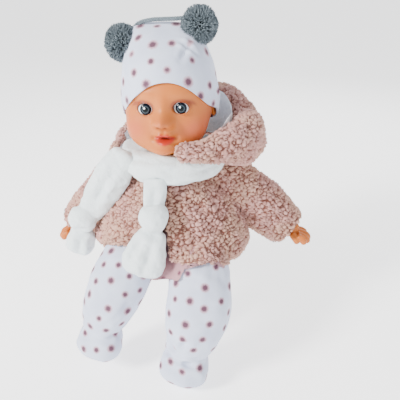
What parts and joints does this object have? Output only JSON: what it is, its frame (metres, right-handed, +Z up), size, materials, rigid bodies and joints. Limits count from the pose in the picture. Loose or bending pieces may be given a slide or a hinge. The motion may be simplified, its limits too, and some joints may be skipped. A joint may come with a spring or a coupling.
{
  "type": "interactive baby doll",
  "caption": "Soft-bodied baby doll seated with hanging legs, in a dotted bear-ear hat, sherpa coat, fleece scarf and footed trousers, with a belly-pressed voice unit.",
  "frame": {"origin": "on the flat underside of the trousers' seat, in the doll's middle plane, under the neck's axis", "axes": "+Z up along the seated torso and the neck's axis; -Y the way the doll faces; +X the doll's left"},
  "size_m": [0.3145, 0.2352, 0.366],
  "materials": {
    "stuffed_cloth": "plain woven cotton, stuffed",
    "tie_nylon": "nylon tie",
    "unit_plastic": "moulded ABS, fine texture",
    "screw_steel": "plated self-tapping screw",
    "spring_steel": "drawn wire",
    "cell_can": "sleeved dry cell",
    "board_laminate": "solder-masked laminate",
    "speaker_body": "pressed frame with a paper cone",
    "button_plastic": "moulded, satin",
    "switch_plastic": "moulded, satin",
    "sherpa": "curly pile with dark hollows between the curls",
    "hood_jersey": "smooth knitted lining",
    "scarf_fleece": "short dense fleece",
    "tunic_jersey": "knitted, small darker dots",
    "dotted_jersey": "fine knit, burgundy dots in pink halos",
    "doll_vinyl": "soft satin vinyl, painted lips and blush",
    "eye_glass": "polished, with a blue-grey iris",
    "pompom_yarn": "cut yarn tuft",
    "cord_yarn": "braided yarn cord"
  },
  "bodies": {
    "torso": {"cloth_body": "stuffed_cloth", "pocket_flap": "stuffed_cloth", "neck_tie": "tie_nylon", "voice_case_front": "unit_plastic", "voice_case_back": "unit_plastic", "case_screw_1": "screw_steel", "case_screw_2": "screw_steel", "case_screw_3": "screw_steel", "battery_door": "unit_plastic", "battery_door_screw": "screw_steel", "battery_cell_1": "cell_can", "battery_cell_2": "cell_can", "battery_cell_3": "cell_can", "circuit_board": "board_laminate", "speaker": "speaker_body", "button_spring": "spring_steel", "trousers_seat": "dotted_jersey", "tunic": "tunic_jersey", "coat_body": "sherpa", "scarf_wrap": "scarf_fleece", "scarf_front_tail": "scarf_fleece", "scarf_right_tail": "scarf_fleece", "hood": "sherpa", "hood_lining": "hood_jersey"},
    "head": {"head_shell": "doll_vinyl", "left_eye": "eye_glass", "right_eye": "eye_glass", "hat": "dotted_jersey", "left_pompom": "pompom_yarn", "right_pompom": "pompom_yarn", "hat_cord": "cord_yarn"},
    "left_arm": {"left_upper_arm": "stuffed_cloth", "left_arm_tie": "tie_nylon", "left_forearm": "doll_vinyl", "left_sleeve": "sherpa"},
    "right_arm": {"right_upper_arm": "stuffed_cloth", "right_arm_tie": "tie_nylon", "right_forearm": "doll_vinyl", "right_sleeve": "sherpa"},
    "left_leg": {"left_thigh": "stuffed_cloth", "left_leg_tie": "tie_nylon", "left_lower_leg": "doll_vinyl", "left_trouser_leg": "dotted_jersey"},
    "right_leg": {"right_thigh": "stuffed_cloth", "right_leg_tie": "tie_nylon", "right_lower_leg": "doll_vinyl", "right_trouser_leg": "dotted_jersey"},
    "button": {"press_button": "button_plastic"},
    "switch": {"power_switch": "switch_plastic"}
  },
  "joints": [
    {"name": "neck_turn", "type": "hinge", "parent": "torso", "child": "head", "pos_m": [0, 0, 0.11], "axis": [0, 0, 1], "range_deg": [-40, 40]},
    {"name": "left_shoulder", "type": "hinge", "parent": "torso", "child": "left_arm", "pos_m": [0.038, 0.006, 0.1], "axis": [-0.769, 0, -0.6392], "range_deg": [-10, 60]},
    {"name": "right_shoulder", "type": "hinge", "parent": "torso", "child": "right_arm", "pos_m": [-0.038, 0.006, 0.1], "axis": [-0.769, 0, 0.6392], "range_deg": [-10, 60], "deforming": ["scarf_right_tail"]},
    {"name": "left_hip", "type": "hinge", "parent": "torso", "child": "left_leg", "pos_m": [0.028, -0.03, 0.028], "axis": [1, 0, 0], "range_deg": [-4, 70]},
    {"name": "right_hip", "type": "hinge", "parent": "torso", "child": "right_leg", "pos_m": [-0.028, -0.03, 0.028], "axis": [1, 0, 0], "range_deg": [-4, 70]},
    {"name": "belly_button", "type": "slide", "parent": "torso", "child": "button", "axis": [0, 1, 0], "range_m": [0, 0.003], "stiffness_N_per_m": 600, "springref_m": -0.0005, "deforming": ["button_spring"]},
    {"name": "on_off_switch", "type": "slide", "parent": "torso", "child": "switch", "axis": [0, 0, 1], "range_m": [0, 0.003]}
  ]
}
